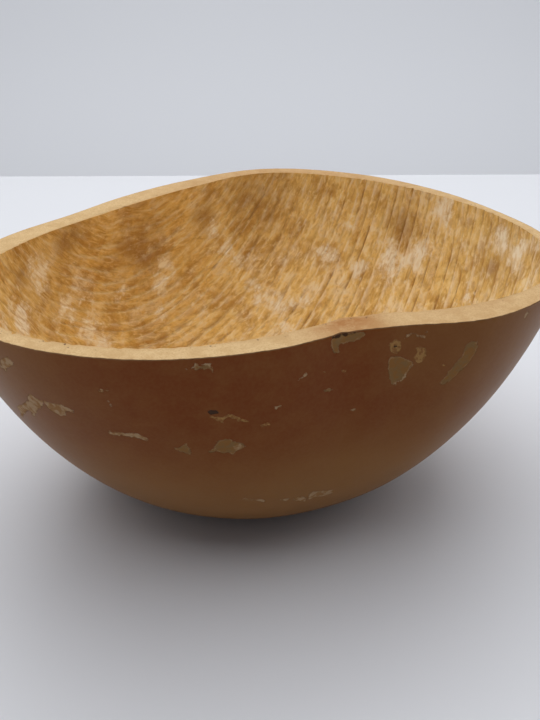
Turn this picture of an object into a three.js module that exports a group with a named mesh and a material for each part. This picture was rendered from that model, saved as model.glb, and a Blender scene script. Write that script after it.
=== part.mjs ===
import * as THREE from "three";
import { toCreasedNormals } from "three/addons/utils/BufferGeometryUtils.js";

// Half of a dried bottle gourd, opened by one flat cut and kept as a bowl: a smooth skin
// outside, a cut face of uneven width round the rim, and an inside scraped out in long
// hollow strokes that leave a crest between every two of them.
//
// Millimetres and degrees. +Z is up, the rim lies level at HEIGHT, and azimuths turn
// round the rim's centre from +X towards +Y.

// Outside of the shell.
const HEIGHT = 100;
const FOOT_RADIUS = 23;
const FOOT_SHIFT = new THREE.Vector2(-6.6, 7.1);
const BELLY_RADIUS = 104;
const SIDE_POWER = 2.35;
const DEPTH_POWER = 1.66;

// Outer radius of the rim and width of its cut face, at even steps of azimuth.
const RIM_RADII = [110, 105, 106, 110, 111, 97, 89, 89, 104, 118, 119, 110, 97, 87, 103, 110];
const RIM_WALLS = [5, 4.5, 6.8, 8.5, 8.5, 12, 12.3, 10.5, 12.5, 9, 6.7, 7.8, 9.6, 10.6, 12.4, 5.5];
const KNUCKLE = { azimuth: 294, halfWidth: 5, height: 1.3 };

// Inside of the shell, before it is scraped.
const WALL = 7;
const FLOOR = 7;
const CAVITY_FOOT_RADIUS = 14;
const CAVITY_SIDE_POWER = 2.9;
const CAVITY_DEPTH_POWER = 1.46;

// Scraping strokes: each one sweeps across the bowl on a cone about the same axis, whose
// apex is above the rim. The axis points at the stem end, where the strokes crowd together.
// They lean: a stroke deepens slowly from its crest on the stem side and rises steeply to
// the next crest.
const STROKE_APEX = new THREE.Vector3(0, -47, HEIGHT + 112);
const STROKE_AXIS = { azimuth: 132, tilt: -6 };
const STROKES = 53;
const STROKE_CROWDING = 0.29;
const STROKE_DEPTH = 1.15;
const STROKE_LEAN = 2.1;
const STROKE_WANDER = 0.22;
const STROKE_WAVE = { reach: 0.16, waves: 1.6, drift: 0.35 };
const SHALLOW_STROKES = 12;
const SEED = 4127;

// Fineness of the faces.
const AZIMUTH_STEPS = 96;
const RINGS = 14;
const FACES_PER_STROKE = 3;
const STROKE_STEPS = 24;
const CREASE = THREE.MathUtils.degToRad(40);

const SKIN = new THREE.Color(0x6d4029);
const CUT_FACE = new THREE.Color(0xd2ab75);
const SCRAPED = new THREE.Color(0xb4854a);

const { clamp, degToRad, euclideanModulo, lerp, smoothstep } = THREE.MathUtils;
const TURN = 2 * Math.PI;
const RIM_CENTRE = new THREE.Vector3(0, 0, HEIGHT);

/** Returns a function that draws the same even numbers from 0 to 1 on every run. */
function seededRandom(seed) {
  let state = seed;
  return () => {
    state = (state * 16807) % 2147483647;
    return state / 2147483647;
  };
}

/** Smooth closed curve through values that stand at even steps round a full turn. */
function valueAround(values, azimuth) {
  const place = (euclideanModulo(azimuth, TURN) / TURN) * values.length;
  const step = Math.floor(place);
  const at = (offset) => values[euclideanModulo(step + offset, values.length)];
  return catmullRom(place - step, at(-1), at(0), at(1), at(2));
}

function catmullRom(t, before, start, end, after) {
  const slope = (end - before) * t;
  const bend = (2 * before - 5 * start + 4 * end - after) * t * t;
  const twist = (3 * start - before - 3 * end + after) * t * t * t;
  return 0.5 * (2 * start + slope + bend + twist);
}

/** Bell of height 1 about an azimuth given in degrees. */
function bell(azimuth, centre, halfWidth) {
  const offset = euclideanModulo(azimuth - degToRad(centre) + Math.PI, TURN) - Math.PI;
  return Math.exp(-((offset / degToRad(halfWidth)) ** 2));
}

/** Radius of the body at a share of its depth, before the sides turn under. */
function bodyRadius(azimuth, depthShare) {
  const knuckle = KNUCKLE.height * bell(azimuth, KNUCKLE.azimuth, KNUCKLE.halfWidth);
  const rim = valueAround(RIM_RADII, azimuth) + knuckle;
  return lerp(rim, BELLY_RADIUS, depthShare);
}

/** Point on the skin, where way runs from 0 at the rim to 1 at the foot. */
function skinPoint(azimuth, way) {
  const angle = (way * Math.PI) / 2;
  const fullness = Math.max(Math.cos(angle), 0) ** (2 / SIDE_POWER);
  const depthShare = Math.sin(angle) ** (2 / DEPTH_POWER);
  const radius = lerp(FOOT_RADIUS, bodyRadius(azimuth, depthShare), fullness);
  return new THREE.Vector3(
    FOOT_SHIFT.x * depthShare + radius * Math.cos(azimuth),
    FOOT_SHIFT.y * depthShare + radius * Math.sin(azimuth),
    HEIGHT * (1 - depthShare),
  );
}

/** Radius of the unscraped hollow at a share of its depth. */
function hollowRadius(azimuth, depthShare) {
  const rimWall = valueAround(RIM_WALLS, azimuth);
  const wall = lerp(WALL, rimWall, (1 - depthShare) ** 2);
  const fullness = (1 - depthShare ** CAVITY_DEPTH_POWER) ** (1 / CAVITY_SIDE_POWER);
  return lerp(CAVITY_FOOT_RADIUS, bodyRadius(azimuth, depthShare) - wall, fullness);
}

/** How far a point at or below the rim's level lies inside the unscraped hollow. */
function roomAt(point) {
  const depthShare = (HEIGHT - point.z) / (HEIGHT - FLOOR);
  if (depthShare >= 1) {
    return -1;
  }
  const share = Math.max(depthShare, 0);
  const x = point.x - FOOT_SHIFT.x * share;
  const y = point.y - FOOT_SHIFT.y * share;
  return hollowRadius(Math.atan2(y, x), share) - Math.hypot(x, y);
}

/** Halves the gap between a value where a test holds and one where it doesn't. */
function bisect(holds, fails, test) {
  let [inside, outside] = [holds, fails];
  for (let pass = 0; pass < 40; pass += 1) {
    const middle = (inside + outside) / 2;
    if (test(middle)) {
      inside = middle;
    } else {
      outside = middle;
    }
  }
  return inside;
}

const strokeAxis = new THREE.Vector3(
  Math.cos(degToRad(STROKE_AXIS.azimuth)) * Math.cos(degToRad(STROKE_AXIS.tilt)),
  Math.sin(degToRad(STROKE_AXIS.azimuth)) * Math.cos(degToRad(STROKE_AXIS.tilt)),
  Math.sin(degToRad(STROKE_AXIS.tilt)),
);
const strokeStart = new THREE.Vector3(0, 0, 1).cross(strokeAxis).negate().normalize();
const strokeDown = strokeAxis.clone().cross(strokeStart).normalize();

/** Line of sight from the apex: cone is its angle to the axis, swing its turn about it. */
function strokeRay(cone, swing) {
  const across = strokeStart
    .clone()
    .multiplyScalar(Math.cos(swing))
    .addScaledVector(strokeDown, Math.sin(swing))
    .multiplyScalar(Math.sin(cone));
  return across.addScaledVector(strokeAxis, Math.cos(cone));
}

/** Distance along a stroke ray at which it comes down to the rim's level. */
function rimDistance(ray) {
  return (HEIGHT - STROKE_APEX.z) / ray.z;
}

/** How far inside the opening a stroke ray passes through the rim's level. */
function openingRoom(cone, swing) {
  const ray = strokeRay(cone, swing);
  if (ray.z > -0.05) {
    return -1000;
  }
  return roomAt(STROKE_APEX.clone().addScaledVector(ray, rimDistance(ray)));
}

/** Swing at which a cone passes deepest inside the opening. */
function deepestSwing(cone) {
  let [best, reach] = [Math.PI / 2, Math.PI / 2];
  while (reach > 1e-9) {
    const around = [-1, -0.75, -0.5, -0.25, 0, 0.25, 0.5, 0.75, 1];
    const swings = around.map((share) => best + share * reach);
    best = swings.reduce((a, b) => (openingRoom(cone, b) > openingRoom(cone, a) ? b : a));
    reach /= 2;
  }
  return best;
}

/** Point where a stroke ray meets the unscraped hollow. */
function hollowPoint(cone, swing) {
  const ray = strokeRay(cone, swing);
  const start = rimDistance(ray);
  const at = (distance) => STROKE_APEX.clone().addScaledVector(ray, distance);
  const reach = bisect(start, start + 3 * HEIGHT, (distance) => roomAt(at(distance)) > 0);
  return at(reach);
}

/** Swings of a stroke from edge to edge of the opening, at even steps of its length. */
function evenSwings(cone) {
  const middle = deepestSwing(cone);
  const inOpening = (swing) => openingRoom(cone, swing) > 0;
  const first = bisect(middle, 0, inOpening);
  const last = bisect(middle, Math.PI, inOpening);
  const samples = 4 * STROKE_STEPS;
  const swings = [];
  const lengths = [];
  let previous = null;
  for (let sample = 0; sample <= samples; sample += 1) {
    const swing = lerp(first, last, sample / samples);
    const point = hollowPoint(cone, swing);
    const step = previous ? point.distanceTo(previous) : 0;
    swings.push(swing);
    lengths.push((lengths.at(-1) ?? 0) + step);
    previous = point;
  }
  return Array.from({ length: STROKE_STEPS + 1 }, (_, index) => {
    const target = lengths.at(-1) * (index / STROKE_STEPS);
    const upper = Math.max(lengths.findIndex((length) => length >= target), 1);
    const span = lengths[upper] - lengths[upper - 1];
    const share = clamp((target - lengths[upper - 1]) / span, 0, 1);
    return lerp(swings[upper - 1], swings[upper], share);
  });
}

/** Edges, depths and slow changes of the strokes, each drawn once. */
function drawStrokes() {
  const random = seededRandom(SEED);
  return Array.from({ length: STROKES + 1 }, (_, index) => ({
    edge: index + (index % STROKES === 0 ? 0 : STROKE_WANDER * (2 * random() - 1)),
    depth: STROKE_DEPTH * (0.55 + 0.45 * random()),
    phase: TURN * random(),
    waves: 1.5 + 2 * random(),
  }));
}

/** Depth of a stroke below its crests; side runs across it, along runs down its length. */
function strokeRelief(stroke, place, side, along) {
  const hollow = 1 - (2 * side ** STROKE_LEAN - 1) ** 2;
  const fromStem = lerp(0.3, 1, smoothstep(place, 0, SHALLOW_STROKES));
  const fromBlossom = smoothstep(STROKES - place, 0, 3);
  const swell = 0.8 + 0.2 * Math.sin(TURN * stroke.waves * along + stroke.phase);
  return stroke.depth * hollow * swell * fromStem * fromBlossom * smoothstep(place, 0, 2);
}

/** Share of the way from the stem end's cone to the blossom end's at a place in strokes. */
function coneShare(place) {
  const even = place / STROKES;
  return even - (STROKE_CROWDING * Math.sin(Math.PI * even)) / Math.PI;
}

/** Moves a point of the hollow away from the middle of the opening, into the wall. */
function scrape(point, depth) {
  const outward = point.clone().sub(RIM_CENTRE).normalize();
  return point.addScaledVector(outward, depth);
}

/** Rows of points on the scraped inside, one row for each crest and each line between. */
function scrapedRows() {
  const strokes = drawStrokes();
  const reaches = (cone) => openingRoom(cone, deepestSwing(cone)) > 0;
  const middleCone = degToRad(75);
  const stemCone = bisect(middleCone, degToRad(20), reaches);
  const blossomCone = bisect(middleCone, degToRad(140), reaches);
  const rows = [];
  const sides = (index) => {
    const even = Array.from({ length: FACES_PER_STROKE }, (_, face) => face / FACES_PER_STROKE);
    return index === 0 ? [0.08, ...even.slice(1)] : even;
  };
  for (let index = 0; index < STROKES; index += 1) {
    const width = strokes[index + 1].edge - strokes[index].edge;
    const last = index === STROKES - 1 ? [0.92] : [];
    for (const side of [...sides(index), ...last]) {
      const place = strokes[index].edge + side * width;
      const cone = lerp(stemCone, blossomCone, coneShare(place));
      const reach = ((blossomCone - stemCone) / STROKES) * STROKE_WAVE.reach;
      rows.push(
        evenSwings(cone).map((swing, step) => {
          const along = step / STROKE_STEPS;
          const turn = TURN * STROKE_WAVE.waves * along + STROKE_WAVE.drift * place;
          const wave = Math.sin(Math.PI * along) * Math.sin(turn);
          const point = hollowPoint(cone + reach * wave, swing);
          return scrape(point, strokeRelief(strokes[index], place, side, along));
        }),
      );
    }
  }
  const pole = (cone) => hollowPoint(cone, deepestSwing(cone)).setZ(HEIGHT);
  return { rows, stemPole: pole(stemCone), blossomPole: pole(blossomCone) };
}

/** Collects triangles in the colour of the surface that they belong to. */
class Surface {
  constructor() {
    this.positions = [];
    this.colours = [];
  }

  addTriangle(a, b, c, colour) {
    for (const corner of [a, b, c]) {
      this.positions.push(corner.x, corner.y, corner.z);
      this.colours.push(colour.r, colour.g, colour.b);
    }
  }

  addQuad(a, b, c, d, colour) {
    this.addTriangle(a, b, c, colour);
    this.addTriangle(a, c, d, colour);
  }

  toGeometry() {
    const geometry = new THREE.BufferGeometry();
    geometry.setAttribute("position", new THREE.Float32BufferAttribute(this.positions, 3));
    geometry.setAttribute("color", new THREE.Float32BufferAttribute(this.colours, 3));
    return toCreasedNormals(geometry, CREASE);
  }
}

/** Skin from the rim down to the flat spot that the bowl stands on. */
function addSkin(surface) {
  const column = (step) => {
    const azimuth = (TURN * (step % AZIMUTH_STEPS)) / AZIMUTH_STEPS;
    return Array.from({ length: RINGS + 1 }, (_, ring) => skinPoint(azimuth, ring / RINGS));
  };
  const columns = Array.from({ length: AZIMUTH_STEPS }, (_, step) => column(step));
  const footCentre = new THREE.Vector3(FOOT_SHIFT.x, FOOT_SHIFT.y, 0);
  columns.forEach((here, step) => {
    const next = columns[(step + 1) % AZIMUTH_STEPS];
    for (let ring = 0; ring < RINGS; ring += 1) {
      surface.addQuad(here[ring], here[ring + 1], next[ring + 1], next[ring], SKIN);
    }
    surface.addTriangle(here[RINGS], footCentre, next[RINGS], SKIN);
  });
  return columns.map((points) => points[0]);
}

/** Scraped inside, from the stem end of the rim to the blossom end. */
function addInside(surface) {
  const { rows, stemPole, blossomPole } = scrapedRows();
  const bottom = rows.length - 1;
  for (let step = 0; step < STROKE_STEPS; step += 1) {
    surface.addTriangle(stemPole, rows[0][step + 1], rows[0][step], SCRAPED);
    surface.addTriangle(blossomPole, rows[bottom][step], rows[bottom][step + 1], SCRAPED);
    for (let row = 0; row < bottom; row += 1) {
      const [here, next] = [rows[row], rows[row + 1]];
      surface.addQuad(here[step], here[step + 1], next[step + 1], next[step], SCRAPED);
    }
  }
  const farEdge = rows.map((row) => row[0]);
  const nearEdge = rows.map((row) => row[STROKE_STEPS]).reverse();
  return [stemPole, ...farEdge, blossomPole, ...nearEdge];
}

/** Flat cut face between the two edges of the rim, zipped together by azimuth. */
function addCutFace(surface, outerEdge, innerEdge) {
  const byAzimuth = (edge) =>
    edge
      .map((point) => ({ point, azimuth: euclideanModulo(Math.atan2(point.y, point.x), TURN) }))
      .sort((a, b) => a.azimuth - b.azimuth);
  const [outer, inner] = [byAzimuth(outerEdge), byAzimuth(innerEdge)];
  const azimuthAt = (edge, index) =>
    edge[index % edge.length].azimuth + (index >= edge.length ? TURN : 0);
  let [o, i] = [0, 0];
  while (o < outer.length || i < inner.length) {
    const outerHere = outer[o % outer.length].point;
    const innerHere = inner[i % inner.length].point;
    const innerLags = azimuthAt(inner, i + 1) < azimuthAt(outer, o + 1);
    if (o >= outer.length || (innerLags && i < inner.length)) {
      i += 1;
      surface.addTriangle(outerHere, inner[i % inner.length].point, innerHere, CUT_FACE);
    } else {
      o += 1;
      surface.addTriangle(outerHere, outer[o % outer.length].point, innerHere, CUT_FACE);
    }
  }
}

/** The whole shell as one closed body, with its flat spot at Z = 0. */
function makeShell() {
  const surface = new Surface();
  const outerEdge = addSkin(surface);
  const innerEdge = addInside(surface);
  addCutFace(surface, outerEdge, innerEdge);
  const geometry = surface.toGeometry();
  geometry.computeBoundingBox();
  const middle = geometry.boundingBox.getCenter(new THREE.Vector3());
  geometry.translate(-middle.x, -middle.y, 0);
  const material = new THREE.MeshStandardMaterial({
    vertexColors: true,
    roughness: 0.6,
    metalness: 0,
  });
  const shell = new THREE.Mesh(geometry, material);
  shell.name = "gourd_shell";
  return shell;
}

const gourd = new THREE.Group();
gourd.name = "bottle_gourd_bowl";
gourd.add(makeShell());

export default gourd;
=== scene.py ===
"""Half of a dried bottle gourd, scraped out and kept as an open bowl.

The bowl is one grown shell: a smooth brown skin with pale flaked scars, a pale
cut face round the rim, and an inside scraped by long curved strokes. Shape
numbers are millimetres with X to the right, Y away from the viewer and Z up;
meshes are built in metres.
"""

import logging
import math
from dataclasses import dataclass, field
from enum import Enum
from functools import cached_property
from typing import Callable

import bpy
import numpy as np
from mathutils import Matrix, Vector, noise


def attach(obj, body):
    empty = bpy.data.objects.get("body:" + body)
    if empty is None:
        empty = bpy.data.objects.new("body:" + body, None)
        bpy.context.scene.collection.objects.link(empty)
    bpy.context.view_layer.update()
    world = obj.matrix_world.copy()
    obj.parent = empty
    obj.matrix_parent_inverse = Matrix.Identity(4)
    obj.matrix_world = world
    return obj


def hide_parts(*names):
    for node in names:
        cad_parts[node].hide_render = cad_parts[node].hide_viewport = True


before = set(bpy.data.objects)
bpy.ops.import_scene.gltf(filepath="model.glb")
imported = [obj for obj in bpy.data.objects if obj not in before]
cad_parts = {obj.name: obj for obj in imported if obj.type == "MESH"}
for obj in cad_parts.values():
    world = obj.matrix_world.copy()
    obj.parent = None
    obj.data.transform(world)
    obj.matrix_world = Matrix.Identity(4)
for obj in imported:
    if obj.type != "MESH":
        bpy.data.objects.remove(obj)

LOG = logging.getLogger("gourd_bowl")
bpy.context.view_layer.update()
MM = 0.001
TURN = 2 * math.pi
SHARP_ANGLE = math.radians(42)
RANDOM_FACTOR, RANDOM_MODULUS = 16807, 2147483647

Array = np.ndarray
Edge = tuple[Array, Array]
Colour = tuple[float, float, float]
Socket = bpy.types.NodeSocket
Tone = Socket | Colour


class Surface(Enum):
    """Surfaces of the shell, each with its own finish, in slot order."""

    SKIN = 0
    CUT_FACE = 1
    SCRAPED = 2


class ScarKind(Enum):
    """What shows where the outermost skin is hurt, and the painted shade in the crack at the notch.
    """

    OLIVE = "scar_olive"
    PALE = "scar_pale"
    GOLDEN = "scar_golden"
    # Painted shade in the crack at the notch, and two small dark spots.
    DARK = "scar_dark"


class PatchKind(Enum):
    """Soft areas of another tone on the scraped inside."""

    DUSTY = "dusty"
    BROWN = "brown"


def lerp(start: Array | float, end: Array | float, share: Array | float) -> Array | float:
    """Blend from start to end."""
    return start + (end - start) * share


def smoothstep(value: Array | float, low: float, high: float) -> Array | float:
    """Rise smoothly from 0 at low to 1 at high."""
    share = np.clip((value - low) / (high - low), 0, 1)
    return share * share * (3 - 2 * share)


def hump(value: Array, centre: float, width: Array | float) -> Array:
    """Smooth hump of height 1 at a centre, fallen to 1/e at its width."""
    return np.exp(-(((value - centre) / width) ** 2))


def value_around(values: tuple[float, ...], azimuth: Array) -> Array:
    """Smooth closed curve through values that stand at even steps round a turn.

    Args:
        values: Values at even steps of azimuth, the first at azimuth 0.
        azimuth: Azimuths in radians.

    Returns:
        Catmull-Rom values at the azimuths.
    """
    table = np.array(values, float)
    place = (np.asarray(azimuth, float) % TURN) / TURN * len(table)
    step = np.floor(place).astype(int)
    t = place - step
    before, start, end, after = (table[(step + k) % len(table)] for k in (-1, 0, 1, 2))
    slope = (end - before) * t
    bend = (2 * before - 5 * start + 4 * end - after) * t * t
    twist = (3 * start - before - 3 * end + after) * t**3
    return 0.5 * (2 * start + slope + bend + twist)


def bisect(holds: Array, fails: Array, test: Callable[[Array], Array], passes: int = 34) -> Array:
    """Close in on the border between values where a test holds and fails.

    Args:
        holds: Values where the test holds.
        fails: Values where it doesn't.
        test: Gives True or False for each value.
        passes: How many times the gap is halved.

    Returns:
        Values just on the side where the test holds.
    """
    inside = np.array(holds, float)
    outside = np.array(fails, float)
    for _ in range(passes):
        middle = (inside + outside) / 2
        good = test(middle)
        inside = np.where(good, middle, inside)
        outside = np.where(good, outside, middle)
    return inside


def seeded_random(seed: int) -> Callable[[], float]:
    """Minimal standard generator, so the strokes match the solid's strokes.

    Args:
        seed: Whole number above 0.

    Returns:
        A function that gives the next number from 0 to 1.
    """
    state = [seed]

    def draw() -> float:
        """Next number."""
        state[0] = (state[0] * RANDOM_FACTOR) % RANDOM_MODULUS
        return state[0] / RANDOM_MODULUS

    return draw


def outline_room(points: Array, corners: Array) -> Array:
    """How far points lie inside a closed outline.

    Args:
        points: N by 2 places.
        corners: Corners of the outline in order.

    Returns:
        Distances to the outline, below 0 outside it.
    """
    spans = np.roll(corners, -1, 0) - corners
    gaps = points[:, None] - corners
    share = np.clip((gaps * spans).sum(-1) / (spans**2).sum(-1), 0, 1)
    nearest = np.linalg.norm(gaps - share[..., None] * spans, axis=-1).min(1)
    level = np.where(spans[:, 1] == 0, 1, spans[:, 1])
    rising = (gaps[..., 1] >= 0) != (gaps[..., 1] - spans[:, 1] >= 0)
    crossed = rising & (gaps[..., 0] < gaps[..., 1] / level * spans[:, 0])
    return np.where(crossed.sum(1) % 2 == 1, nearest, -nearest)


@dataclass(frozen=True)
class Rumple:
    """Smooth unrest of a surface: its depth, the size of its bumps and which pattern."""

    depth: float
    size: float
    seed: float

    def at(self, points: Array) -> Array:
        """Depths at places whose last axis is X, Y, Z.

        Args:
            points: Places in millimetres.

        Returns:
            Depths in millimetres, below 0 for hollows.
        """
        shifted = points.reshape(-1, 3) / self.size + self.seed
        values = np.array([noise.noise(Vector(point)) for point in shifted])
        return self.depth * values.reshape(points.shape[:-1])


@dataclass(frozen=True)
class Hump:
    """Smooth hump about an azimuth, measured in degrees."""

    azimuth: float
    half_width: float
    height: float = 1

    def at(self, azimuth: Array) -> Array:
        """Heights at azimuths in radians."""
        offset = (azimuth - math.radians(self.azimuth) + math.pi) % TURN - math.pi
        return self.height * hump(offset, 0, math.radians(self.half_width))


@dataclass
class GourdBody:
    """Outer form of the half gourd, from the rim down to its flat spot."""

    height: float = 100
    foot_radius: float = 23
    foot_shift: tuple[float, float] = (-6.6, 7.1)
    belly_radius: float = 104
    side_power: float = 2.35
    depth_power: float = 1.66
    rim_radii: tuple[float, ...] = (
        110, 105, 106, 110, 111, 97, 89, 89, 104, 118, 119, 110, 97, 87, 103, 110,
    )
    knuckle: Hump = Hump(294, 5, 1.3)

    def radius(self, azimuth: Array, depth_share: Array) -> Array:
        """Radius before the sides turn under: depth_share is 0 at the rim and 1 at the foot."""
        rim = value_around(self.rim_radii, azimuth) + self.knuckle.at(azimuth)
        return lerp(rim, self.belly_radius, depth_share)

    def skin_point(self, azimuth: Array, way: Array) -> Array:
        """Points of the skin.

        Args:
            azimuth: Azimuths in radians.
            way: 0 at the rim, 1 at the edge of the flat spot.

        Returns:
            N by 3 places in millimetres.
        """
        angle = way * math.pi / 2
        fullness = np.maximum(np.cos(angle), 0) ** (2 / self.side_power)
        depth_share = np.sin(angle) ** (2 / self.depth_power)
        radius = lerp(self.foot_radius, self.radius(azimuth, depth_share), fullness)
        return np.stack(
            [
                self.foot_shift[0] * depth_share + radius * np.cos(azimuth),
                self.foot_shift[1] * depth_share + radius * np.sin(azimuth),
                self.height * (1 - depth_share),
            ],
            -1,
        )

    def way_at(self, height: Array) -> Array:
        """Way down the skin at which a height is reached."""
        depth_share = 1 - np.asarray(height, float) / self.height
        return np.arcsin(depth_share ** (self.depth_power / 2)) * 2 / math.pi


@dataclass
class Hollow:
    """Form of the inside before the strokes."""

    body: GourdBody
    wall: float = 7
    floor: float = 7
    foot_radius: float = 14
    side_power: float = 2.9
    depth_power: float = 1.46
    rim_walls: tuple[float, ...] = (
        5, 4.5, 6.8, 8.5, 8.5, 12, 12.3, 10.5, 12.5, 9, 6.7, 7.8, 9.6, 10.6, 12.4, 5.5,
    )

    def room(self, points: Array) -> Array:
        """How far points at or below the rim lie inside the hollow.

        Args:
            points: Array of places whose last axis is X, Y, Z.

        Returns:
            Distances in millimetres, below 0 outside the hollow.
        """
        body = self.body
        share = np.clip((body.height - points[..., 2]) / (body.height - self.floor), 0, 1)
        x = points[..., 0] - body.foot_shift[0] * share
        y = points[..., 1] - body.foot_shift[1] * share
        azimuth = np.arctan2(y, x)
        wall = lerp(self.wall, value_around(self.rim_walls, azimuth), (1 - share) ** 2)
        fullness = (1 - share**self.depth_power) ** (1 / self.side_power)
        radius = lerp(self.foot_radius, body.radius(azimuth, share) - wall, fullness)
        return np.where(share >= 1, -1, radius - np.hypot(x, y))


@dataclass
class Stroke:
    """One pull of the scraper."""

    edge: float
    depth: float
    phase: float
    waves: float


@dataclass(frozen=True)
class Unrest:
    """Unrest along the strokes: how strong, how often down a row, and which pattern."""

    strength: float
    waves: float
    seed: float


@dataclass
class FanRows:
    """Rows of points across the fan, one to a line.

    Index is the stroke of a row, side its place across that stroke from 0 to 1,
    and place its place across the fan in strokes. Along is the place down the
    rows, from 0 to 1.
    """

    index: Array
    side: Array
    place: Array
    along: Array


@dataclass
class ScrapedRows:
    """Rows of points that a fan of strokes leaves, and where painted highlight and painted shade
    tint them.
    """

    points: Array
    crest: Array
    riser: Array
    place: Array
    stem_pole: Array
    blossom_pole: Array


@dataclass
class ScrapingStrokes:
    """Fan of curved strokes that sweep from the stem end to the blossom end.

    Pairs of strokes give the places across the fan between which something grows
    or fades. Depths are millimetres, and widths are shares of a stroke.
    """

    hollow: Hollow
    count: int = 53
    crowding: float = 0.29
    apex_height: float = 112
    apex_offset: tuple[float, float] = (0, -47)
    axis_azimuth: float = 132
    axis_tilt: float = -6
    level_fall: float = -0.05
    cones_tried: tuple[float, float, float] = (20, 75, 140)
    edge_passes: int = 40
    depth: float = 1.15
    shallowest: float = 0.55
    swell: float = 0.2
    swell_waves: tuple[float, float] = (1.5, 3.5)
    wander: float = 0.22
    wave_reach: float = 0.16
    wave_count: float = 1.6
    wave_drift: float = 0.35
    shallow_strokes: int = 12
    shallow_share: float = 0.3
    stem_fade: float = 2
    blossom_fade: float = 3
    seed: int = 4127
    first_sides: tuple[float, float] = (0.03, 0.08)
    sides: tuple[float, ...] = (0, 0.2, 0.4, 0.58, 0.73, 0.86, 0.95)
    last_side: float = 0.97
    steps: int = 116
    lean: float = 2.1
    pattern_step: float = 3.7
    jitter: Unrest = Unrest(0.2, 7, 1.5)
    shiver: Unrest = Unrest(0.22, 19, 4.5)
    chatter: Unrest = Unrest(1.6, 22, 8.5)
    splitting: Unrest = Unrest(1.4, 7, 12.5)
    calm_strokes: float = 1.5
    lively_strokes: tuple[float, float] = (8, 30)
    lively_start: float = 0.25
    chatter_depths: tuple[float, float, float] = (0.08, 0.8, 1.5)
    slides: Rumple = Rumple(1, 30, 6.3)
    slid_range: tuple[float, float] = (-0.4, 0.3)
    slid_depths: tuple[float, float] = (0.3, 1.15)
    vigour_strokes: tuple[float, float] = (10, 27)
    vigour_start: float = 0.7
    soft_depth: float = 0.6
    split_strokes: tuple[float, float] = (16, 34)
    split_shares: tuple[float, float] = (0.55, 0.9)
    split_side: float = 0.44
    split_width: float = 0.12
    fibres: tuple[Rumple, Rumple] = (Rumple(0.2, 5.5, 3.1), Rumple(0.12, 2.2, 9.4))
    fibre_share: float = 0.5
    # Where the painted highlight along the crests and the painted shade along the risers fall, and
    # how strong they are.
    crest_widths: tuple[float, float] = (0.36, 0.09)
    riser_side: float = 0.83
    riser_widths: tuple[float, float] = (0.3, 0.15)
    riser_strokes: tuple[float, float] = (14, 30)
    half_riser_side: float = 0.32
    half_crest_side: float = 0.5
    bold_rhythm: float = 0.6
    bold_strokes: tuple[float, float] = (30, 18)
    darkest_share: float = 0.5
    least_dark: float = 0.2

    def __post_init__(self) -> None:
        """Lay out the fan's axis and draw its strokes."""
        tilt, azimuth = math.radians(self.axis_tilt), math.radians(self.axis_azimuth)
        level = math.cos(tilt)
        self.axis = np.array([math.cos(azimuth) * level, math.sin(azimuth) * level, math.sin(tilt)])
        self.start = -np.cross([0, 0, 1], self.axis)
        self.start /= np.linalg.norm(self.start)
        self.down = np.cross(self.axis, self.start)
        self.apex = np.array([*self.apex_offset, self.hollow.body.height + self.apex_height])
        self.strokes = self.draw_strokes()

    def draw_strokes(self) -> list[Stroke]:
        """Edges, depths and slow changes of the strokes, each drawn once.

        Returns:
            One stroke for each edge, both ends included.
        """
        draw = seeded_random(self.seed)
        strokes = []
        for index in range(self.count + 1):
            edge = index + (self.wander * (2 * draw() - 1) if index % self.count else 0)
            depth = self.depth * lerp(self.shallowest, 1, draw())
            strokes.append(Stroke(edge, depth, TURN * draw(), lerp(*self.swell_waves, draw())))
        return strokes

    def ray(self, cone: Array, swing: Array) -> Array:
        """Line of sight from the apex.

        Args:
            cone: Angle to the fan's axis in radians.
            swing: Turn about the axis in radians.

        Returns:
            Unit vectors, one for each pair.
        """
        cone, swing = np.broadcast_arrays(cone, swing)
        across = np.cos(swing)[..., None] * self.start + np.sin(swing)[..., None] * self.down
        return np.sin(cone)[..., None] * across + np.cos(cone)[..., None] * self.axis

    def opening_room(self, cone: Array, swing: Array) -> Array:
        """How far inside the opening rays pass through the rim's level.

        Args:
            cone: Angles to the fan's axis in radians.
            swing: Turns about the axis in radians.

        Returns:
            Distances in millimetres, far below 0 for rays that never come down.
        """
        ray = self.ray(cone, swing)
        distance = -self.apex_height / np.minimum(ray[..., 2], self.level_fall)
        room = self.hollow.room(self.apex + ray * distance[..., None])
        return np.where(ray[..., 2] > self.level_fall, -1000, room)

    def deepest_swing(self, cone: Array) -> Array:
        """Swing at which each cone passes deepest inside the opening.

        Args:
            cone: Angles to the fan's axis in radians.

        Returns:
            Swings in radians.
        """
        cone = np.asarray(cone, float)
        best = np.full(cone.shape, math.pi / 2)
        reach = math.pi / 2
        while reach > 1e-8:
            tries = best[..., None] + np.linspace(-1, 1, 9) * reach
            rooms = self.opening_room(cone[..., None], tries)
            pick = rooms.argmax(-1)[..., None]
            best = np.take_along_axis(tries, pick, -1)[..., 0]
            reach /= 2
        return best

    def hollow_point(self, cone: Array, swing: Array) -> Array:
        """Places where rays meet the unscraped hollow.

        Args:
            cone: Angles to the fan's axis in radians.
            swing: Turns about the axis in radians.

        Returns:
            Places in millimetres.
        """
        ray = self.ray(cone, swing)
        near = -self.apex_height / ray[..., 2]
        far = near + 3 * self.hollow.body.height
        inside = lambda distance: self.hollow.room(self.apex + ray * distance[..., None]) > 0
        return self.apex + ray * bisect(near, far, inside)[..., None]

    def end_cones(self) -> tuple[float, float]:
        """Cones that just touch the stem end and the blossom end of the opening.

        Returns:
            Both angles to the fan's axis in radians.
        """
        reaches = lambda cone: self.opening_room(cone, self.deepest_swing(cone)) > 0
        before, inside, beyond = (math.radians(cone) for cone in self.cones_tried)
        stem = bisect(inside, before, reaches, self.edge_passes)
        blossom = bisect(inside, beyond, reaches, self.edge_passes)
        return float(stem), float(blossom)

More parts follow.
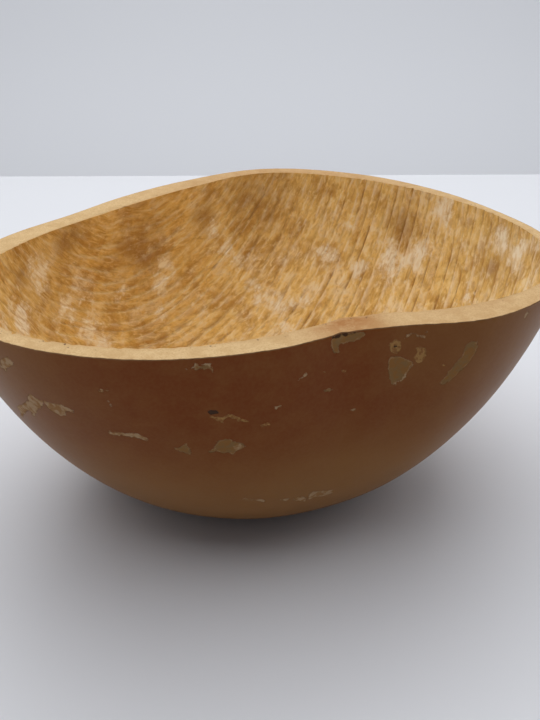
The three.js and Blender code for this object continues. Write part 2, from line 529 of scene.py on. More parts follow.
    def even_swings(self, cones: Array) -> Array:
        """Swings of each row from edge to edge of the opening, at even steps of length.

        Args:
            cones: One cone for each row.

        Returns:
            Rows by steps + 1 swings in radians.
        """
        middle = self.deepest_swing(cones)
        inside = lambda swing: self.opening_room(cones, swing) > 0
        first = bisect(middle, np.zeros_like(middle), inside, self.edge_passes)
        last = bisect(middle, np.full_like(middle, math.pi), inside, self.edge_passes)
        shares = np.linspace(0, 1, 2 * self.steps + 1)
        swings = lerp(first[:, None], last[:, None], shares)
        points = self.hollow_point(cones[:, None], swings)
        pieces = np.linalg.norm(np.diff(points, axis=1), axis=2)
        lengths = np.concatenate([np.zeros((len(cones), 1)), np.cumsum(pieces, 1)], 1)
        targets = np.linspace(0, 1, self.steps + 1)
        return np.array(
            [np.interp(targets * row[-1], row, swing) for row, swing in zip(lengths, swings)]
        )

    def lay_rows(self) -> FanRows:
        """Lay the rows across the fan, with a few more at both of its ends.

        Returns:
            Strokes, sides and places of the rows.
        """
        index, side = [], []
        for number in range(self.count):
            sides = list(self.sides)
            if number == 0:
                sides[:1] = self.first_sides
            if number == self.count - 1:
                sides.append(self.last_side)
            index += [number] * len(sides)
            side += sides
        index, side = np.array(index)[:, None], np.array(side)[:, None]
        edges = np.array([stroke.edge for stroke in self.strokes])
        place = lerp(edges[index], edges[index + 1], side)
        return FanRows(index, side, place, np.linspace(0, 1, self.steps + 1))

    def wobble(self, channel: Array, along: Array, unrest: Unrest) -> Array:
        """Slow unrest along each stroke.

        Args:
            channel: Number of the crest or stroke of each row.
            along: Place down the row, from 0 to 1.
            unrest: Its strength, waves and pattern.

        Returns:
            Rows by steps values of about -1 to 1 times the strength.
        """
        rows = {}
        for number in np.unique(channel):
            lane = self.pattern_step * number + unrest.seed
            at = [Vector((unrest.waves * a, lane, unrest.seed)) for a in along]
            rows[number] = unrest.strength * np.array([noise.noise(v) for v in at])
        return np.array([rows[number] for number in channel.ravel()])

    def lively(self, rows: FanRows) -> Array:
        """How restless the strokes are: little at the stem end."""
        return lerp(self.lively_start, 1, smoothstep(rows.place, *self.lively_strokes))

    def vigour(self, rows: FanRows) -> Array:
        """How hard the scraper was pressed: less at the stem end."""
        return lerp(self.vigour_start, 1, smoothstep(rows.place, *self.vigour_strokes))

    def split(self, rows: FanRows) -> Array:
        """How far, from 0 to 1, a crest splits the strokes along their middle.

        Args:
            rows: Rows of the fan.

        Returns:
            Rows by steps shares.
        """
        usual, most = self.split_shares
        share = np.clip(usual + self.wobble(rows.index, rows.along, self.splitting), 0, most)
        return share * smoothstep(rows.place, *self.split_strokes)

    def sway(self, rows: FanRows) -> Array:
        """Sideways sway of the rows.

        Args:
            rows: Rows of the fan.

        Returns:
            Rows by steps offsets in strokes.
        """
        between = lambda unrest: lerp(
            self.wobble(rows.index, rows.along, unrest),
            self.wobble(rows.index + 1, rows.along, unrest),
            rows.side,
        )
        from_ends = np.minimum(rows.place, self.count - rows.place)
        unrest = between(self.jitter) + self.lively(rows) * between(self.shiver)
        turn = TURN * self.wave_count * rows.along + self.wave_drift * rows.place
        wave = self.wave_reach * np.sin(turn)
        wave = wave + unrest * smoothstep(from_ends, 0, self.calm_strokes)
        return wave * np.sin(math.pi * rows.along)

    def clean_relief(self, rows: FanRows) -> Array:
        """Depth of the strokes below their crests, as the solid has it.

        Args:
            rows: Rows of the fan.

        Returns:
            Rows by steps depths in millimetres.
        """
        pick = lambda name: np.array([getattr(s, name) for s in self.strokes])[rows.index]
        turn = TURN * pick("waves") * rows.along + pick("phase")
        swell = 1 - self.swell + self.swell * np.sin(turn)
        from_stem = smoothstep(rows.place, 0, self.shallow_strokes)
        ends = lerp(self.shallow_share, 1, from_stem) * smoothstep(rows.place, 0, self.stem_fade)
        ends = ends * smoothstep(self.count - rows.place, 0, self.blossom_fade)
        return (1 - (2 * rows.side**self.lean - 1) ** 2) * swell * pick("depth") * ends

    def worn_relief(self, rows: FanRows, split: Array, points: Array) -> Array:
        """Depth of the strokes where the scraper chattered, slid and was set anew.

        Args:
            rows: Rows of the fan.
            split: How far each place is split by a crest.
            points: Places of the unscraped rows.

        Returns:
            Rows by steps depths in millimetres.
        """
        least, usual, most = self.chatter_depths
        chatter = self.lively(rows) * self.wobble(rows.index, rows.along, self.chatter)
        relief = self.clean_relief(rows) * np.clip(usual + chatter, least, most)
        slid = smoothstep(self.slides.at(points), *self.slid_range)
        relief = relief * lerp(*self.slid_depths, slid)
        relief = relief * lerp(self.soft_depth, 1, self.vigour(rows))
        return relief * (1 - split * hump(rows.side, self.split_side, self.split_width))

    def torn_fibres(self, rows: FanRows, points: Array) -> Array:
        """Depth of the fine torn fibres, which end at the rim.

        Args:
            rows: Rows of the fan.
            points: Places of the unscraped rows.

        Returns:
            Rows by steps depths in millimetres.
        """
        torn = sum(fibres.at(points) for fibres in self.fibres)
        from_rim = np.minimum(rows.along, 1 - rows.along) * self.steps
        return torn * smoothstep(from_rim, 0, 2) * lerp(self.fibre_share, 1, self.lively(rows))

    def tints(self, rows: FanRows, relief: Array, split: Array) -> tuple[Array, Array]:
        """Where painted highlight makes the strokes pale along their crests and painted shade makes
        them dark along their risers.

        Args:
            rows: Rows of the fan.
            relief: Depths of the strokes.
            split: How far each place is split by a crest.

        Returns:
            Rows by steps shares from 0 to 1 of both.
        """
        side, place = rows.side, rows.place
        slow_side, steep_side = self.crest_widths
        # Painted highlight along both crests of each stroke.
        crest = np.maximum(hump(side, 0, slow_side), hump(side, 1, steep_side))
        half_crest = split * hump(side, self.half_crest_side, self.split_width)
        width = lerp(*self.riser_widths, smoothstep(place, *self.riser_strokes))
        faint = self.bold_rhythm * smoothstep(place, *self.bold_strokes) * (rows.index % 2)
        # Painted shade along each stroke's riser, stronger where the stroke is deeper.
        riser = hump(side, self.riser_side, width) * (1 - faint)
        half_riser = split * hump(side, self.half_riser_side, self.split_width)
        dark = np.clip(relief / (relief.max() * self.darkest_share) + self.least_dark, 0, 1)
        vigour = self.vigour(rows)
        return vigour * np.maximum(crest, half_crest), vigour * dark * np.maximum(riser, half_riser)

    def build(self) -> ScrapedRows:
        """Rows of points on the scraped inside.

        Returns:
            Points, tints and places across the fan of every row, and both poles.
        """
        stem, blossom = self.end_cones()
        rows = self.lay_rows()
        even = rows.place / self.count
        crowded = even - self.crowding * np.sin(math.pi * even) / math.pi
        cones = lerp(stem, blossom, crowded)
        sway = (blossom - stem) / self.count * self.sway(rows)
        points = self.hollow_point(cones + sway, self.even_swings(cones[:, 0]))
        split = self.split(rows)
        relief = self.worn_relief(rows, split, points)
        crest, riser = self.tints(rows, relief, split)
        outward = points - np.array([0, 0, self.hollow.body.height])
        outward /= np.linalg.norm(outward, axis=2, keepdims=True)
        points = points + outward * (relief + self.torn_fibres(rows, points))[..., None]
        pole = lambda cone: self.hollow_point(cone, self.deepest_swing(cone))
        poles = [pole(np.array(cone)) for cone in (stem, blossom)]
        return ScrapedRows(points, crest, riser, rows.place[:, 0], *poles)


Outline = tuple[tuple[float, float], ...]

# Hurt areas of the skin, and painted shade in the crack at the notch. Each corner is an azimuth in
# degrees and a height in millimetres.
SCARS: dict[ScarKind, tuple[Outline, ...]] = {
    ScarKind.OLIVE: (
        ((259.3, 97.6), (260.2, 97.4), (261.3, 97.8), (261.7, 97.2), (261.8, 95.9), (260.6, 96.5),
         (259.3, 96.3)),
        ((255, 65), (256.4, 65.9), (257.1, 67.8), (257.7, 66.7), (258.1, 62.1), (257.3, 62.8),
         (256.6, 63.2), (255.7, 64.2)),
        ((261.1, 62.8), (261.7, 64.2), (262.5, 65.3), (262.9, 68), (264, 68.6), (264.8, 69.1),
         (265.6, 67.6), (267, 66.5), (268.4, 64.8), (267.2, 64), (266.2, 62.8), (265.4, 61.1),
         (265, 62.6), (263.7, 62.5), (262.5, 63.7), (261.4, 62.5)),
        ((283.1, 98.7), (283.5, 100), (285.5, 100), (286.9, 100), (288.6, 99.7), (290.2, 99.4),
         (290.6, 98.3), (289.7, 97.5), (288.4, 96.7), (287, 96.7), (285.6, 96.7), (285, 96.3),
         (285, 94.2), (284.5, 93.8), (283.8, 94.5), (283.4, 96.5)),
        ((295.8, 89.2), (296.7, 89.7), (298.3, 89.5), (299.4, 88.5), (300.4, 87.4), (301, 87),
         (300.6, 85.3), (300.2, 83), (299.3, 80.6), (298.5, 80.8), (297.8, 79.2), (297.1, 80.4),
         (296.5, 82.9), (295.9, 85.8)),
        ((307, 77.7), (307.4, 79.8), (307.9, 82), (308.5, 84.1), (309.1, 86.1), (309.6, 87.8),
         (309.7, 90.1), (310, 92.1), (310.7, 92.7), (311.6, 92.5), (312.1, 90.7), (312.2, 88.3),
         (311.7, 86.3), (311.4, 84.5), (310.8, 83), (310.2, 81.6), (309.5, 80), (308.6, 78),
         (307.4, 77)),
        ((282.6, 82), (283.8, 82.3), (284.5, 81.6), (284, 81.1), (282.9, 81.3)),
    ),
    ScarKind.PALE: (
        ((227.9, 92.4), (229.2, 94.1), (229.9, 94.8), (230.2, 93.7), (230.6, 92.7), (229.6, 90.7),
         (228.8, 89.9), (228, 87.6), (227.6, 87.7), (227.7, 89.1), (226.8, 88.1)),
        ((224.2, 69.2), (227.7, 73.7), (230, 77), (230.6, 79.8), (231.4, 80.8), (232, 79.5),
         (233.2, 79.5), (233.4, 78.2), (232.3, 75.2), (230.9, 73.4), (229, 68.7), (228.3, 68.5),
         (228.8, 70.6), (227.9, 71), (225.9, 67.7), (222.2, 61.9), (221.6, 61.6), (223.8, 65.8),
         (224.1, 67.8)),
        ((233.7, 79.3), (234.8, 79.3), (236.3, 79.3), (237.7, 79.1), (239.2, 77.8), (238.9, 76.9),
         (237.7, 77.2), (236.8, 74.1), (235.9, 73.9), (235, 74.5), (234.3, 75.3), (233.8, 76.9)),
        ((258.2, 96.4), (259.2, 96.6), (259.4, 97.9), (260.2, 97.1), (261.3, 97.7), (261.6, 97.4),
         (261.9, 94.8), (262.2, 95), (261.8, 97.7), (261.2, 98.3), (260.2, 97.8), (259.3, 98.6),
         (259, 97.2), (258.2, 97)),
        ((244.7, 87.5), (245.2, 88.1), (245.1, 88.8), (244.6, 88.2)),
        ((245.5, 88.2), (246.1, 88.5), (246.2, 89.2), (245.6, 88.9)),
        ((245.6, 84.2), (245.8, 83.2), (245.8, 82.1), (246.1, 82.3), (246.1, 83.6), (245.9, 84.7)),
        ((244.4, 71), (244.8, 71), (245.1, 70.5), (246.4, 71), (246.6, 71.4), (246.8, 70.7),
         (248.3, 71.3), (249.4, 71.4), (250.2, 70.3), (251.3, 69.7), (251, 68.6), (250.3, 68.2),
         (249.8, 69.3), (248.4, 69.4), (247.5, 69.7), (245.9, 69.4), (244.7, 69.2), (244.2, 69.4)),
        ((265.6, 65.1), (267, 66.1), (267.6, 64.9), (266.2, 63.1)),
        ((273, 78.6), (274.3, 79.7), (274.1, 80.4), (272.8, 79.4)),
        ((267.4, 36.6), (268.4, 37), (269.5, 36.3), (271.1, 35.7), (272.3, 35.5), (273.4, 34.4),
         (273.3, 32.9), (272.2, 33.7), (270.9, 34.8), (269.5, 35.3), (268.2, 35.6)),
        ((276.8, 33.5), (278.1, 33.3), (279.3, 33.3), (279.4, 32.6), (278.5, 31.9), (277.1, 32.4)),
        ((280.3, 32.5), (281.1, 33.4), (282.6, 33.3), (283.4, 31.9), (284.6, 28.7), (284.5, 28.1),
         (283.3, 29), (281.9, 29.6), (280.8, 31.3)),
        ((284.7, 30), (284.4, 33.7), (284.9, 34.9), (286.8, 34.2), (288.9, 33.8), (291.4, 32.6),
         (291.6, 31.1), (290.6, 30.5), (290.1, 29.9), (288.1, 30.1), (286.1, 29.9), (285.2, 29.2)),
        ((297.9, 79), (298.5, 80.3), (299.5, 80.5), (300, 82.5), (300.6, 84.6), (301.1, 86.5),
         (300.8, 86.9), (300.3, 85), (299.7, 82.9), (299.2, 81), (298.3, 80.8), (297.6, 79.5)),
        ((298.7, 95.6), (299.4, 96.3), (300.3, 96.9), (301.2, 95.8), (302.3, 95.5), (302.7, 97.6),
         (302.4, 97.8), (302.1, 96), (301.2, 96.3), (300.3, 97.4), (299.2, 96.8), (298.5, 96.1)),
        ((277, 87.4), (277.9, 88.4), (278.7, 89.5), (278.3, 90.1), (277.6, 89), (276.7, 88)),
        ((288.9, 71.7), (289.7, 72.4), (290.4, 72.2), (289.8, 71.4)),
        ((282.1, 88.3), (282.6, 88.1), (282.5, 88.8), (282.1, 89)),
        ((322.4, 95.7), (323.1, 97.2), (322.3, 98.2), (321.6, 96.7)),
    ),
    ScarKind.GOLDEN: (
        ((261.8, 78.6), (262.6, 78.5), (263.7, 78.1), (264.9, 78.9), (265.7, 78.4), (267, 76.8),
         (268.3, 75.8), (268.2, 75), (267, 75.5), (265.5, 77.4), (264.7, 77.5), (264, 76.6),
         (263.9, 75.5), (263.3, 76.3), (262.6, 77.2)),
        ((270.7, 72.4), (271.4, 73), (272.3, 72.9), (272.2, 73.8), (271.3, 73.9), (270.5, 73.2)),
        ((295.6, 94.5), (295.9, 95.3), (296.7, 95.6), (297.6, 95), (298.1, 93.8), (298.2, 92.3),
         (297.7, 91.5), (297.4, 90.5), (296.9, 91), (296.3, 91.6), (295.7, 92.8)),
        ((301.1, 88.2), (301.2, 90.7), (300.9, 92), (301.6, 92.6), (302.9, 91.6), (302.9, 89.1),
         (302.7, 87.3), (302.2, 86.4), (301.3, 87)),
        ((306.3, 85.5), (306.8, 85.4), (306.9, 84.5), (306.4, 84.6)),
        ((286.2, 87.7), (286.5, 87.8), (287, 87.2), (286.7, 86.8), (286.3, 87)),
    ),
    # The long piece beside the notch is painted shade in the crack; the two small ones are dark
    # spots by the golden scars.
    ScarKind.DARK: (
        ((261.3, 80.8), (261.9, 81.4), (262.7, 80.8), (263.1, 79.8), (262.3, 79.5), (261.6, 79.7)),
        ((283.1, 99), (283.5, 100), (284.9, 100), (286, 100), (287.4, 100), (288.9, 100),
         (288.5, 99.4), (287, 99.2), (286.4, 98.7), (285.6, 99), (284.7, 98.7), (283.8, 98.8)),
        ((296.5, 93.6), (297.3, 93.6), (297.3, 93.1), (296.7, 93.1)),
    ),
}


@dataclass
class Patch:
    """Soft area of the inside: its middle and its reach in millimetres."""

    middle: tuple[float, float, float]
    reach: float
    strength: float = 1


PATCHES: dict[PatchKind, tuple[Patch, ...]] = {
    PatchKind.DUSTY: (
        Patch((-89, 4, 83), 7),
        Patch((-91, 0, 89), 5, 0.7),
        Patch((-95, -14, 73), 9),
        Patch((-82, 17, 64), 8, 0.8),
        Patch((-76, 25, 50), 8),
        Patch((-73, 28, 42), 7),
        Patch((-65, 46, 60), 6, 0.7),
        Patch((-48, 64, 56), 6),
        Patch((-47, 66, 65), 5),
        Patch((-49, 60, 42), 5, 0.7),
        Patch((-25, 84, 76), 5),
        Patch((-19, 86, 66), 5),
        Patch((-13, 87, 58), 5, 0.8),
        Patch((-6, 84, 47), 5, 0.9),
        Patch((-2, 82, 42), 5),
        Patch((8, 78, 38), 6),
        Patch((18, 78, 42), 5, 0.8),
        Patch((11, 71, 29), 7, 0.8),
        Patch((30, 85, 63), 6),
        Patch((45, 75, 60), 6),
        Patch((60, 65, 67), 10),
        Patch((70, 58, 73), 9),
        Patch((41, 84, 78), 5, 0.6),
        Patch((79, 55, 95), 8, 0.8),
        Patch((98, 21, 92), 7),
        Patch((101, 7, 91), 7),
        Patch((87, 23, 67), 6, 0.7),
    ),
    PatchKind.BROWN: (
        Patch((-54, 59, 73), 11),
        Patch((-57, 54, 82), 16, 0.85),
        Patch((-80, 18, 94), 9),
        Patch((-29, 80, 83), 8, 0.8),
        Patch((-93, -7, 88), 7, 0.7),
        Patch((-7, 95, 88), 17, 0.6),
        Patch((63, 69, 84), 8, 0.7),
        Patch((95, 18, 81), 6, 0.7),
        Patch((-88, 12, 76), 32, 0.34),
        Patch((-58, 48, 66), 30, 0.38),
        Patch((98, 15, 85), 20, 0.3),
    ),
}


@dataclass
class MeshDraft:
    """Points, faces and values of a piece while it's being built."""

    points: list[Array] = field(default_factory=list)
    quads: list[Array] = field(default_factory=list)
    triangles: list[Array] = field(default_factory=list)
    surfaces: dict[str, list[int]] = field(default_factory=lambda: {"quads": [], "triangles": []})
    values: dict[str, list[tuple[int, Array]]] = field(default_factory=dict)
    size: int = 0

    def add_points(self, points: Array, **values: Array) -> Array:
        """Add points with named values.

        Args:
            points: Array whose last axis is X, Y, Z in millimetres.
            **values: One number, or three, for each point.

        Returns:
            Numbers of the new points, in the shape of the array.
        """
        flat = points.reshape(-1, 3)
        for name, value in values.items():
            self.values.setdefault(name, []).append((self.size, value.reshape(len(flat), -1)))
        numbers = np.arange(self.size, self.size + len(flat)).reshape(points.shape[:-1])
        self.points.append(flat)
        self.size += len(flat)
        return numbers

    def add_quads(self, a: Array, b: Array, c: Array, d: Array, surface: Surface) -> None:
        """Add four-cornered faces from matching arrays of point numbers.

        Args:
            a, b, c, d: Numbers of the first to the fourth corner.
            surface: Surface of the shell that the faces belong to.
        """
        faces = np.stack([a.ravel(), b.ravel(), c.ravel(), d.ravel()], 1)
        self.quads.append(faces)
        self.surfaces["quads"] += [surface.value] * len(faces)

    def add_triangles(self, a: Array, b: Array, c: Array, surface: Surface) -> None:
        """Add three-cornered faces from matching arrays of point numbers.

        Args:
            a, b, c: Numbers of the first to the third corner.
            surface: Surface of the shell that the faces belong to.
        """
        faces = np.stack([np.ravel(a), np.ravel(b), np.ravel(c)], 1)
        self.triangles.append(faces)
        self.surfaces["triangles"] += [surface.value] * len(faces)

    def make(self, name: str, shift: Array) -> bpy.types.Object:
        """Make the Blender object.

        Args:
            name: Name of the piece.
            shift: Move in millimetres from the draft's frame to the part's.

        Returns:
            The object, linked to the scene.
        """
        points = (np.concatenate(self.points) + shift) * MM
        faces = [f for block in self.quads for f in block.tolist()]
        faces += [f for block in self.triangles for f in block.tolist()]
        mesh = bpy.data.meshes.new(name)
        mesh.from_pydata(points.tolist(), [], faces)
        slots = self.surfaces["quads"] + self.surfaces["triangles"]
        mesh.polygons.foreach_set("material_index", slots)
        mesh.polygons.foreach_set("use_smooth", [True] * len(slots))
        mesh.set_sharp_from_angle(angle=SHARP_ANGLE)
        for key, blocks in self.values.items():
            width = blocks[0][1].shape[1]
            full = np.zeros((self.size, width), np.float32)
            for start, value in blocks:
                full[start : start + len(value)] = value
            kind, slot = ("FLOAT", "value") if width == 1 else ("FLOAT_VECTOR", "vector")
            layer = mesh.attributes.new(key, kind, "POINT")
            layer.data.foreach_set(slot, full.ravel())
        mesh.update()
        piece = bpy.data.objects.new(name, mesh)
        bpy.context.scene.collection.objects.link(piece)
        return piece


@dataclass(frozen=True)
class Span:
    """Range of a number, and what its two ends are mapped to."""

    low: float
    high: float
    at_low: float = 0
    at_high: float = 1


@dataclass(frozen=True)
class Cloud:
    """Soft noise: size of its bumps, finer layers, how far it's pulled about, and stretch."""

    size: float
    detail: float = 3
    roughness: float = 0.55
    distortion: float = 0
    stretch: Colour | None = None


class FinishSheet:
    """Node sheet of one finish, with short ways to add what finishes need."""

    def __init__(self, name: str) -> None:
        """Start a sheet that holds its surface shader alone.

        Args:
            name: Name of the finish.
        """
        self.material = bpy.data.materials.new(name)
        self.material.use_nodes = True
        self.tree = self.material.node_tree
        self.tree.nodes.clear()
        self.shader = self.add("BsdfPrincipled")
        self.add("OutputMaterial", {"Surface": self.shader.outputs["BSDF"]})

    def feed(self, node: bpy.types.Node, inputs: dict[str | int, object]) -> None:
        """Link sockets into a node's inputs, and set plain values on them.

        Args:
            node: Node that is fed.
            inputs: Sockets, plain values or None for each input's name or number.
        """
        for name, value in inputs.items():
            if isinstance(value, Socket):
                self.tree.links.new(value, node.inputs[name])
            elif value is not None:
                node.inputs[name].default_value = value

    def add(
        self, kind: str, inputs: dict[str | int, object] | None = None, **options: str
    ) -> bpy.types.Node:
        """Add a node.

        Args:
            kind: Its type, without the leading ShaderNode.
            inputs: Sockets and plain values that go into it.
            **options: Its settings.

        Returns:
            The node.
        """
        node = self.tree.nodes.new("ShaderNode" + kind)
        for name, choice in options.items():
            setattr(node, name, choice)
        self.feed(node, inputs or {})
        return node

    @cached_property
    def place(self) -> Socket:
        """Position on the object, in metres."""
        return self.add("TexCoord").outputs["Object"]

    def value(self, name: str, output: str = "Fac") -> Socket:
        """Number stored on the mesh, or a vector if the output says so."""
        return self.add("Attribute", attribute_name=name).outputs[output]

    def axis(self, number: int) -> Socket:
        """One part of the position: 0, 1 or 2 for X, Y or Z."""
        return self.add("SeparateXYZ", {0: self.place}).outputs[number]

    def noise(self, cloud: Cloud, vector: Socket | None = None) -> Socket:
        """Soft noise.

        Args:
            cloud: Its size and layers, in the vector's own unit.
            vector: Where it's read, or None for the position.

        Returns:
            Values of about 0.2 to 0.8 with a middle of 0.5.
        """
        if cloud.stretch:
            parts = {0: vector, 1: cloud.stretch}
            vector = self.add("VectorMath", parts, operation="MULTIPLY").outputs["Vector"]
        inputs = {
            "Vector": vector or self.place,
            "Scale": 1 / cloud.size,
            "Detail": cloud.detail,
            "Roughness": cloud.roughness,
            "Distortion": cloud.distortion,
        }
        return self.add("TexNoise", inputs).outputs["Fac"]

    def dots(self, spacing: float) -> Socket:
        """Distance to the nearest of scattered dots, in shares of their spacing."""
        inputs = {"Vector": self.place, "Scale": 1 / spacing}
        return self.add("TexVoronoi", inputs).outputs["Distance"]

    def spread(self, value: Socket, span: Span) -> Socket:
        """Map a number smoothly from one range onto another.

        Args:
            value: Number to map.
            span: Range and its results, which hold beyond its ends too.

        Returns:
            The mapped number.
        """
        inputs = {
            "Value": value,
            "From Min": span.low,
            "From Max": span.high,
            "To Min": span.at_low,
            "To Max": span.at_high,
        }
        return self.add("MapRange", inputs, interpolation_type="SMOOTHSTEP").outputs["Result"]

    def mottle(self, cloud: Cloud, span: Span) -> Socket:
        """Soft noise at the position, mapped onto a range."""
        return self.spread(self.noise(cloud), span)

    def ragged(self, cloud_value: Socket, reach: float) -> Socket:
        """Noise shifted to a middle of 0 and scaled to a reach."""
        return self.times(self.minus(cloud_value, 0.5), reach)

    def work(self, operation: str, first: object, second: object = None) -> Socket:
        """Combine two numbers by a named operation."""
        return self.add("Math", {0: first, 1: second}, operation=operation).outputs[0]

    def plus(self, first: object, second: object) -> Socket:
        """Sum of two numbers."""
        return self.work("ADD", first, second)

    def minus(self, first: object, second: object) -> Socket:
        """First number less the second."""
        return self.work("SUBTRACT", first, second)

    def times(self, first: object, second: object) -> Socket:
        """Product of two numbers."""
        return self.work("MULTIPLY", first, second)

    def most(self, first: object, second: object) -> Socket:
        """Greater of two numbers."""
        return self.work("MAXIMUM", first, second)

    def layers(self, colour: Tone, *coats: tuple[Socket, Tone]) -> Socket:
        """Lay coats over a colour.

        Args:
            colour: Colour of the ground.
            *coats: Share from 0 to 1 and colour of each coat, the lowest first.

        Returns:
            The blended colour.
        """
        full = lambda tone: (*tone, 1) if isinstance(tone, tuple) else tone
        for share, tone in coats:
            inputs = {0: share, 6: full(colour), 7: full(tone)}
            colour = self.add("Mix", inputs, data_type="RGBA").outputs[2]
        return colour

    def bump(self, height: Socket, depth: float, under: Socket | None = None) -> Socket:
        """Normal bent by relief of a depth in millimetres, which may lie on another relief."""
        inputs = {"Strength": 1, "Distance": depth * MM, "Height": height, "Normal": under}
        return self.add("Bump", inputs).outputs["Normal"]

    def finish(
        self, colour: object, roughness: object, normal: Socket | None = None, specular: float = 0.5
    ) -> bpy.types.Material:
        """Feed the surface shader.

        Args:
            colour: Base colour, four numbers or a socket.
            roughness: Number or socket.
            normal: Bent normal.
            specular: Strength of the plain reflection.

        Returns:
            The finished material.
        """
        inputs = {"Base Color": colour, "Roughness": roughness, "Normal": normal}
        self.feed(self.shader, {**inputs, "Specular IOR Level": specular})
        return self.material


@dataclass(frozen=True)
class SkinFinish:
    """Hard satin skin of the dried gourd, with flaked scars.

    It is paler low down, where bounce light from the floor is painted, and paler toward both ends
    in X, partly its own paler tone and partly painted sheen; it is ruddier in the middle.
    """

    name: str = "gourd_skin"
    brown: Colour = (0.206, 0.076, 0.019)
    red: Colour = (0.178, 0.042, 0.005)
    tan: Colour = (0.262, 0.115, 0.030)
    speck: Colour = (0.29, 0.155, 0.06)
    scar_pale: Colour = (0.41, 0.265, 0.145)
    scar_olive: Colour = (0.225, 0.125, 0.048)
    scar_golden: Colour = (0.36, 0.19, 0.065)
    # Painted shade in the crack at the notch, and small dark spots.
    scar_dark: Colour = (0.06, 0.027, 0.012)
    roughness: float = 0.4
    scar_roughness: float = 0.8
    specular: float = 0.1
    # Paler low down: painted bounce light from the floor.
    painted_floor_bounce: Span = Span(0.085, 0.02)
    # Paler toward both ends in X: partly the skin's own paler tone, partly painted sheen at the
    # silhouettes.
    paler_ends_and_painted_sheen: Span = Span(0.04, 0.105, 0, 0.6)
    middle_red: Span = Span(0, 0.095, 0.2, -0.16)
    red_share: Span = Span(0.36, 0.66)
    cloud: Cloud = Cloud(0.06, 2)
    cloud_share: Span = Span(0.2, 0.8, 0.35, 0.65)
    haze: Cloud = Cloud(0.009, 4, 0.6)
    haze_share: Span = Span(0.4, 0.7, 0, 0.2)
    speckle: Cloud = Cloud(0.0011, 2)
    speckle_share: Span = Span(0.3, 0.7, 0, 0.1)
    scar_edge: Cloud = Cloud(0.0014, 4, 0.6)
    scar_edge_reach: float = 2.1
    scar_mask: Span = Span(-0.15, 0.15)
    # Pale band along the olive scars' edges: a painted highlight on the rim of each flake.
    scar_edge_highlight: Span = Span(0.15, 0.55, 0.55, 0)
    worn: Cloud = Cloud(0.0022)
    worn_share: Span = Span(0.4, 0.62, 0, 0.8)
    gold: Cloud = Cloud(0.001, 2)
    gold_share: Span = Span(0.38, 0.58, 0.3, 1)
    scar_depth: float = 0.22
    peel: Cloud = Cloud(0.0035)
    peel_depth: float = 0.05

    def dress(self) -> bpy.types.Material:
        """Make the material.

        Returns:
            The finished material.
        """
        sheet = FinishSheet(self.name)
        ragged = sheet.ragged(sheet.noise(self.scar_edge), self.scar_edge_reach)
        edges = {kind: sheet.plus(sheet.value(kind.value), ragged) for kind in ScarKind}
        masks = {kind: sheet.spread(edge, self.scar_mask) for kind, edge in edges.items()}
        gold = sheet.mottle(self.gold, self.gold_share)
        masks[ScarKind.GOLDEN] = sheet.times(masks[ScarKind.GOLDEN], gold)
        tones = self.scar_tones(sheet, edges[ScarKind.OLIVE])
        colour = sheet.layers(self.ground(sheet), *((masks[kind], tones[kind]) for kind in tones))
        hurt = sheet.most(masks[ScarKind.GOLDEN], masks[ScarKind.OLIVE])
        hurt = sheet.most(masks[ScarKind.PALE], hurt)
        roughness = sheet.spread(hurt, Span(0, 1, self.roughness, self.scar_roughness))
        unhurt = sheet.minus(1, sheet.most(hurt, masks[ScarKind.DARK]))
        relief = sheet.bump(unhurt, self.scar_depth)
        relief = sheet.bump(sheet.noise(self.peel), self.peel_depth, relief)
        return sheet.finish(colour, roughness, relief, self.specular)

    def ground(self, sheet: FinishSheet) -> Socket:
        """Colour of the whole skin.

        Args:
            sheet: Sheet that the nodes go into.

        Returns:
            The colour.
        """
        sideways = sheet.work("ABSOLUTE", sheet.axis(0))
        cloud = sheet.mottle(self.cloud, self.cloud_share)
        ruddy = sheet.plus(cloud, sheet.spread(sideways, self.middle_red))
        # Paler low down: painted bounce light from the floor.
        low = sheet.spread(sheet.axis(2), self.painted_floor_bounce)
        # Toward both ends in X: partly a paler skin tone, partly painted sheen.
        fade = sheet.most(low, sheet.spread(sideways, self.paler_ends_and_painted_sheen))
        fade = sheet.plus(fade, sheet.minus(cloud, 0.5))
        return sheet.layers(
            self.brown,
            (sheet.spread(ruddy, self.red_share), self.red),
            (sheet.spread(fade, Span(0, 1)), self.tan),
            (sheet.mottle(self.haze, self.haze_share), self.tan),
            (sheet.mottle(self.speckle, self.speckle_share), self.speck),
        )

    def scar_tones(self, sheet: FinishSheet, edge: Socket) -> dict[ScarKind, Tone]:
        """Colours of the scars, with a painted highlight along the edges of the olive ones.

        Args:
            sheet: Sheet that the nodes go into.
            edge: How far points lie inside the olive scars.

        Returns:
            A colour for each kind, in the order in which they cover each other.
        """
        worn = sheet.mottle(self.worn, self.worn_share)
        # Painted highlight along the olive scars' edges, in the pale scar colour.
        border = sheet.times(sheet.spread(edge, self.scar_edge_highlight), worn)
        return {
            ScarKind.OLIVE: sheet.layers(
                self.scar_olive, (worn, self.tan), (border, self.scar_pale)
            ),
            ScarKind.PALE: sheet.layers(self.scar_pale, (worn, self.tan)),
            ScarKind.GOLDEN: self.scar_golden,
            # Painted shade in the crack at the notch, and small dark spots.
            ScarKind.DARK: self.scar_dark,
        }


